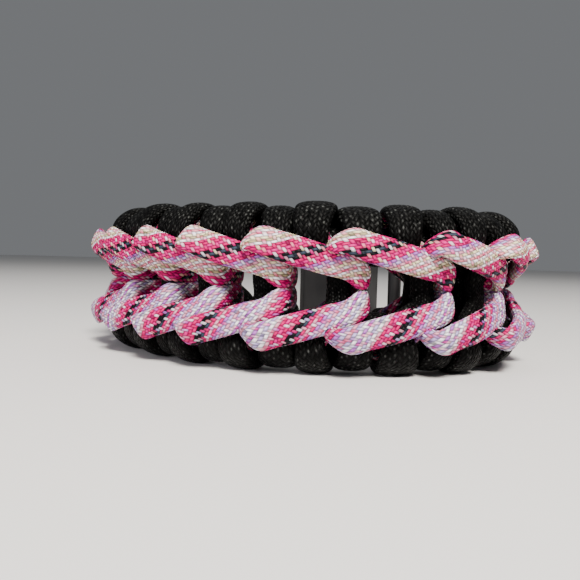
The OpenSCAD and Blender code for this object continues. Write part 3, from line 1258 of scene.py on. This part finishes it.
@dataclass(frozen=True)
class CordFinish:
    """Finish of a braided cord: its yarns on each family of carriers, painted shade in the grooves
    between stitches, painted glints and its gloss.
    """

    name: str
    slot: str
    cord: BraidedCord
    yarns_a: tuple[Color, ...]
    yarns_b: tuple[Color, ...]
    roughness: float = 0.46
    roughness_change: float = 0.24
    # Brightness left by the painted shade at the bottom of the grooves between stitches
    groove_shade: float = 0.2
    stitch_change: float = 0.16
    thread_change: float = 0.5
    thread_relief: float = 0.22
    relief_depth: float = 0.16
    specular: float = 0.1
    tint: float = 0.0
    # Share of painted glints, a light grey in glint_color mixed into the colour on some stitch tops
    glint: float = 0.0
    glint_color: Color = (0.2, 0.21, 0.2)

    def ramp(self, bench: NodeBench, factor: object,
             yarns: tuple[Color, ...]) -> bpy.types.NodeSocket:
        """A ramp with one flat step for each yarn of the row.

        Args:
            bench: The bench of the material.
            factor: Place on the ramp, 0 to 1.
            yarns: The yarns' colours.

        Returns:
            The colour.
        """
        node = bench.add("ShaderNodeValToRGB")
        node.color_ramp.interpolation = "CONSTANT"
        steps = node.color_ramp.elements
        for number, color in enumerate(yarns):
            at = number / len(yarns)
            # A new ramp comes with its first two steps
            step = steps[number] if number < 2 else steps.new(at)
            step.position = at
            step.color = (*color, 1.0)
        bench.wire(factor, node.inputs["Fac"])
        return node.outputs["Color"]

    def build(self, group: bpy.types.NodeTree) -> bpy.types.Material:
        """Makes the material.

        Args:
            group: The braid's node group.

        Returns:
            The material.
        """
        material, bench, shader = new_material(self.name)
        braid = bench.add("ShaderNodeGroup", node_tree=group)
        for name in ("Cord", "Shift"):
            bench.wire(bench.add("ShaderNodeUVMap", uv_map=name).outputs[0], braid.inputs[name])
        braid.inputs["Columns"].default_value = self.cord.columns
        out = braid.outputs
        own = self.ramp(bench, out["Carrier A"], self.yarns_a)
        crossing = bench.mix(self.tint, self.ramp(bench, out["Carrier B"], self.yarns_b), own)
        yarn = bench.mix(out["Dot"], own, crossing)
        # Painted glints: a light grey mixed into the colour on the tops of some stitches, standing in
        # for the fibres' sparkle
        shine = bench.math("MULTIPLY", out["Peak"], self.glint)
        yarn = bench.mix(shine, yarn, (*self.glint_color, 1.0))
        change = bench.vary(out["Stitch"], self.stitch_change, 1.0)
        threads = bench.vary(out["Filament"], self.thread_change, 1.0)
        # Painted shade: the colour darkens from each stitch's top into the grooves between stitches,
        # down to groove_shade at their bottom; shade also carries the random tone of stitches and
        # threads
        depth = bench.math("MULTIPLY_ADD", out["Height"], 1.0 - self.groove_shade, self.groove_shade)
        shade = bench.math("MULTIPLY", bench.math("MULTIPLY", change, threads), depth)
        grey = bench.combine(shade, shade, shade)
        bench.wire(bench.mix(1.0, yarn, grey, "MULTIPLY"), shader.inputs["Base Color"])
        gloss = bench.vary(out["Filament"], self.roughness_change, self.roughness)
        bench.wire(gloss, shader.inputs["Roughness"])
        relief = bench.math("MULTIPLY_ADD", out["Filament"], self.thread_relief, out["Height"])
        bench.wire(bench.bump(relief, 1.0, self.relief_depth), shader.inputs["Normal"])
        shader.inputs["Specular IOR Level"].default_value = self.specular
        return material


@dataclass(frozen=True)
class MouldedFinish:
    """Finish of the moulded buckle: fine grain, soft marks and a dull gloss."""

    name: str = "Moulded buckle"
    color: Color = (0.004, 0.004, 0.0045)
    worn: float = 2.2
    roughness: float = 0.32
    roughness_rise: float = 0.22
    grain_scale: float = 2600.0
    grain_detail: float = 3.0
    grain_strength: float = 0.35
    grain_depth: float = 0.03
    wear_scale: float = 160.0
    wear_detail: float = 4.0

    def build(self) -> bpy.types.Material:
        """Makes the material, in which wear lightens the colour and roughens the gloss.

        Returns:
            The material.
        """
        material, bench, shader = new_material(self.name)
        place = bench.add("ShaderNodeTexCoord").outputs["Object"]
        grain = bench.noise(place, self.grain_scale, self.grain_detail)
        wear = bench.noise(place, self.wear_scale, self.wear_detail)
        light = tuple(self.worn * c for c in self.color)
        bench.wire(bench.mix(wear, (*self.color, 1.0), (*light, 1.0)), shader.inputs["Base Color"])
        rough = bench.math("MULTIPLY_ADD", wear, self.roughness_rise, self.roughness)
        bench.wire(rough, shader.inputs["Roughness"])
        bump = bench.bump(grain, self.grain_strength, self.grain_depth)
        bench.wire(bump, shader.inputs["Normal"])
        return material


# The sub-assemblies


class Skin(Enum):
    """The finishes of the cords."""

    CORE = "core"
    BLACK = "black"
    WARM = "warm"
    COOL = "cool"


@dataclass
class WovenBand:
    """The six strands of the band and their finishes."""

    plan: WeavePlan
    place: np.ndarray
    black: BraidedCord = BraidedCord(relief=0.07, fuller=1.06)
    patterned: BraidedCord = BraidedCord(relief=0.06, fuller=1.05)
    core: BraidedCord = BraidedCord(columns=16, roundness=2.0, relief=0.05, fuller=1.0)
    arm_starts_upper: tuple[tuple[int, int], ...] = (
        (16, 0), (18, 7), (1, 3), (15, 11), (19, 5), (0, 14), (18, 2), (17, 9), (1, 16),
        (9, 12), (15, 4), (17, 18), (0, 8),
    )
    arm_starts_lower: tuple[tuple[int, int], ...] = (
        (17, 5), (0, 12), (18, 2), (15, 15), (14, 7), (19, 10), (2, 3), (17, 13), (15, 6),
        (18, 17), (13, 1), (17, 9), (1, 14),
    )

    def shifts(self, cord: SweptCord, starts: tuple[tuple[int, int], ...]) -> np.ndarray:
        """Colour shifts of each unit, so that its arm starts on the carriers in the table.

        Args:
            cord: The swept strand, whose stations' places along it are known.
            starts: The carriers of each family at the upper edge where the arm starts.

        Returns:
            Two whole numbers for each unit (units, 2).
        """
        n = cord.cord.columns
        v = np.array([
            cord.station_v[np.flatnonzero(cord.stations.unit == k)[self.plan.stations_before_arm]]
            for k in range(self.plan.unit_count)
        ])
        wanted = np.array(starts, float)
        first = np.mod(wanted[:, 0] - np.floor(v), n)
        second = np.mod(wanted[:, 1] + np.floor(-v), n)
        return np.stack([first, second], axis=1)

    def strand(self, name: str, cord: BraidedCord, route: Stations,
               starts: tuple[tuple[int, int], ...] = ()) -> bpy.types.Object:
        """Builds one strand.

        Args:
            name: The piece's name.
            cord: Its sheath.
            route: Its stations.
            starts: Carriers at the start of each arm, for a patterned strand.

        Returns:
            The strand's object.
        """
        swept = SweptCord(name, self.plan.loop, cord, route, np.zeros((self.plan.unit_count + 2, 2)))
        if starts:
            swept.rings()
            swept.shift[: self.plan.unit_count] = self.shifts(swept, starts)
        return swept.build(self.place)

    def finishes(self) -> dict[Skin, CordFinish]:
        """The finishes of the cords, with the yarn on each carrier in order.

        Returns:
            The finishes by name.
        """
        y = Yarn
        # Both patterned strands are one cord: the upper strand's yarns carry the warm tone of its lit
        # side
        warm_lit_a = palette(
            y.CREAM, y.WHITE, y.BLUSH, y.WHITE, y.CREAM, y.OLIVE, y.WHITE, y.HOT_PINK, y.HOT_PINK,
            y.PINK, y.HOT_PINK, y.INK, y.SLATE, y.INK, y.HOT_PINK, y.PINK, y.HOT_PINK, y.LILAC,
            y.MIST, y.ROSE,
        )
        warm_lit_b = palette(
            y.WHITE, y.BLUSH, y.HOT_PINK, y.PINK, y.CREAM, y.BLUSH, y.PINK, y.WHITE, y.HOT_PINK,
            y.ROSE, y.WHITE, y.PINK, y.INK, y.BLUSH, y.HOT_PINK, y.CREAM, y.WHITE, y.PINK, y.ROSE,
            y.HOT_PINK,
        )
        # The lower strand's yarns: the same cord's colours made lilac and darker, painted cool shade
        # of the band's underside
        cool_shaded_a = palette(
            y.MIST, y.WHITE, y.LILAC, y.WHITE, y.MIST, y.WHITE, y.ROSE, y.HOT_PINK, y.PINK,
            y.HOT_PINK, y.HOT_PINK, y.INK, y.INK, y.SLATE, y.HOT_PINK, y.ROSE, y.HOT_PINK, y.LILAC,
            y.MIST, y.ROSE,
        )
        cool_shaded_b = palette(
            y.WHITE, y.MIST, y.PINK, y.HOT_PINK, y.LILAC, y.WHITE, y.BLUSH, y.HOT_PINK, y.MIST,
            y.WHITE, y.PINK, y.ROSE, y.INK, y.WHITE, y.HOT_PINK, y.LILAC, y.PINK, y.WHITE, y.ROSE,
            y.HOT_PINK,
        )
        dim = tuple((c, c, c) for c in (
            0.004, 0.002, 0.005, 0.003, 0.006, 0.002, 0.004, 0.003, 0.005, 0.002, 0.004, 0.003,
        ))
        return {
            # On the black and core cords the large stitch-to-stitch change in brightness is partly
            # random tone and partly painted glints
            Skin.BLACK: CordFinish("Black braid", "black_cord", self.black, dim, dim,
                                   roughness=0.44, stitch_change=0.9, groove_shade=0.08,
                                   specular=0.05, glint=0.17),
            Skin.WARM: CordFinish("Speckled braid warm lit copy", "patterned_cord", self.patterned,
                                  warm_lit_a, warm_lit_b, tint=0.4),
            Skin.COOL: CordFinish("Speckled braid cool shaded copy", "patterned_cord", self.patterned,
                                  cool_shaded_a, cool_shaded_b, tint=0.4),
            Skin.CORE: CordFinish("Core braid", "core_cord", self.core, dim, dim,
                                  stitch_change=0.8, groove_shade=0.1, specular=0.05, glint=0.2),
        }

    def build(self) -> None:
        """Builds, dresses and mounts all six strands."""
        plan = self.plan
        finishes = self.finishes()
        group = BraidGroup().build()
        skins = {skin: finish.build(group) for skin, finish in finishes.items()}
        jobs = (
            ("core_upper_braid", "core_cord_upper", Skin.CORE, plan.core_route(UPPER), ()),
            ("core_lower_braid", "core_cord_lower", Skin.CORE, plan.core_route(LOWER), ()),
            ("black_near_braid", "black_cord_near", Skin.BLACK, plan.black_route(UPPER), ()),
            ("black_far_braid", "black_cord_far", Skin.BLACK, plan.black_route(LOWER), ()),
            ("patterned_upper_braid", "patterned_cord_upper", Skin.WARM,
             plan.patterned_route(UPPER), self.arm_starts_upper),
            ("patterned_lower_braid", "patterned_cord_lower", Skin.COOL,
             plan.patterned_route(LOWER), self.arm_starts_lower),
        )
        for name, node, skin, route, starts in jobs:
            piece = self.strand(name, finishes[skin].cord, route, starts)
            piece.data.materials.append(skins[skin])
            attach(piece, "root")
            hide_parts(node)


@dataclass
class Buckle:
    """The plain buckle on the far side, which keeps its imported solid."""

    finish: MouldedFinish = MouldedFinish()

    def build(self, node: bpy.types.Object) -> None:
        """Gives the buckle's solid its finish.

        Args:
            node: The buckle's packed object.
        """
        node.data.materials.clear()
        node.data.materials.append(self.finish.build())
        LOG.info("buckle: dressed")


@dataclass(frozen=True)
class Lamp:
    """A soft square lamp: its direction in degrees, distance and size in metres, and power."""

    name: str
    azimuth: float
    elevation: float
    reach: float
    size: float
    power: float
    color: Color = (1.0, 1.0, 1.0)


@dataclass
class Studio:
    """Pale floor, soft lights and the camera.

    The camera's distance and height are in millimetres. Its aim is in steps of the distance
    divided by focal_px, each close to one pixel of the picture, and its roll in degrees.
    """

    centre: np.ndarray
    azimuth: float = 20.0
    distance: float = 127.0
    height: float = 5.0
    lens: float = 38.4
    sensor: float = 36.0
    clip_start: float = 0.005
    aim_right: float = -12.0
    aim_up: float = -9.3
    roll: float = 1.5
    focal_px: float = 640.0
    floor_half: float = 1.6
    floor_color: Color = (0.72, 0.71, 0.70)
    floor_roughness: float = 0.8
    sky_color: Color = (0.86, 0.89, 0.93)
    sky_strength: float = 0.2
    lamps: tuple[Lamp, ...] = (
        Lamp("key", 30, 44, 0.5, 0.12, 6.6, (1.0, 0.95, 0.88)),
        Lamp("fill", -40, 15, 0.55, 0.25, 1.2, (0.95, 0.93, 1.0)),
        Lamp("back", 190, 60, 0.6, 0.5, 0.7),
    )

    def floor(self) -> None:
        """A wide pale floor under the object."""
        mesh = bpy.data.meshes.new("floor")
        corners = [(x * self.floor_half, y * self.floor_half, 0.0)
                   for x, y in ((-1, -1), (1, -1), (1, 1), (-1, 1))]
        mesh.from_pydata(corners, [], [(0, 1, 2, 3)])
        material, _, shader = new_material("Pale floor")
        shader.inputs["Base Color"].default_value = (*self.floor_color, 1.0)
        shader.inputs["Roughness"].default_value = self.floor_roughness
        mesh.materials.append(material)
        add_object("floor", mesh)

    def lamp(self, lamp: Lamp) -> None:
        """Hangs one lamp, looking at the bracelet.

        Args:
            lamp: The lamp's sizes.
        """
        light = bpy.data.lights.new(lamp.name, "AREA")
        light.size = lamp.size
        light.energy = lamp.power
        light.color = lamp.color
        a, e = math.radians(lamp.azimuth), math.radians(lamp.elevation)
        way = np.array([math.sin(a) * math.cos(e), -math.cos(a) * math.cos(e), math.sin(e)])
        middle = self.centre * MM
        self.look(add_object(lamp.name, light), middle + way * lamp.reach, middle)

    @staticmethod
    def look(obj: bpy.types.Object, start: np.ndarray, target: np.ndarray,
             roll: float = 0.0) -> None:
        """Places an object at start, with its -Z axis at target and its Y axis up.

        The axes are back = start - target, right = up x back and up' = back x right, then turned
        by roll degrees about back.

        Args:
            obj: The object.
            start: Its place in metres.
            target: What it looks at.
            roll: Turn about its own axis in degrees.
        """
        back = unit_rows((start - target)[None])[0]
        right = unit_rows(np.cross((0.0, 0.0, 1.0), back)[None])[0]
        up = np.cross(back, right)
        r = math.radians(roll)
        turned = right * math.cos(r) + up * math.sin(r)
        raised = up * math.cos(r) - right * math.sin(r)
        matrix = np.eye(4)
        matrix[:3, 0], matrix[:3, 1], matrix[:3, 2], matrix[:3, 3] = turned, raised, back, start
        obj.matrix_world = Matrix(matrix.tolist())

    def camera(self) -> None:
        """The camera at the photo's angle."""
        data = bpy.data.cameras.new("camera")
        data.lens = self.lens
        data.sensor_width = self.sensor
        data.clip_start = self.clip_start
        obj = add_object("camera", data)
        a = math.radians(self.azimuth)
        start = self.centre + np.array(
            [math.sin(a) * self.distance, -math.cos(a) * self.distance, self.height])
        right = np.array([math.cos(a), math.sin(a), 0.0])
        scale = self.distance / self.focal_px
        target = self.centre + right * self.aim_right * scale
        target = target + np.array([0.0, 0.0, self.aim_up * scale])
        self.look(obj, start * MM, target * MM, self.roll)
        bpy.context.scene.camera = obj

    def build(self) -> None:
        """Sets up the whole studio."""
        self.floor()
        for lamp in self.lamps:
            self.lamp(lamp)
        world = bpy.data.worlds.new("soft room")
        world.use_nodes = True
        sky = world.node_tree.nodes["Background"]
        sky.inputs["Color"].default_value = (*self.sky_color, 1.0)
        sky.inputs["Strength"].default_value = self.sky_strength
        bpy.context.scene.world = world
        self.camera()


def loop_place(plan: WeavePlan) -> np.ndarray:
    """Where the loop's middle lies in the frame, read from the buckle's box.

    The buckle is even about the loop's middle in X and Z, and its outer face lies half a depth
    plus half its own thickness behind the middle.

    Args:
        plan: The weave's plan.

    Returns:
        The place in millimetres (3,).
    """
    low, high = (np.array(corner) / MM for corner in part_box("buckle"))
    middle = (low + high) / 2
    depth = high[1] - plan.loop.half_depth - plan.buckle_thickness / 2
    return np.array([middle[0], depth, middle[2]])


def main() -> None:
    """Loads the frame and builds the bracelet and the studio in order."""
    logging.basicConfig(level=logging.INFO, format="%(name)s: %(message)s")
    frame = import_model()
    plan = WeavePlan()
    place = loop_place(plan)
    LOG.info("loop middle at %s", np.round(place, 3))
    WovenBand(plan, place).build()
    Buckle().build(frame["nodes"]["buckle"])
    Studio(place).build()


if __name__ == "__main__":
    main()
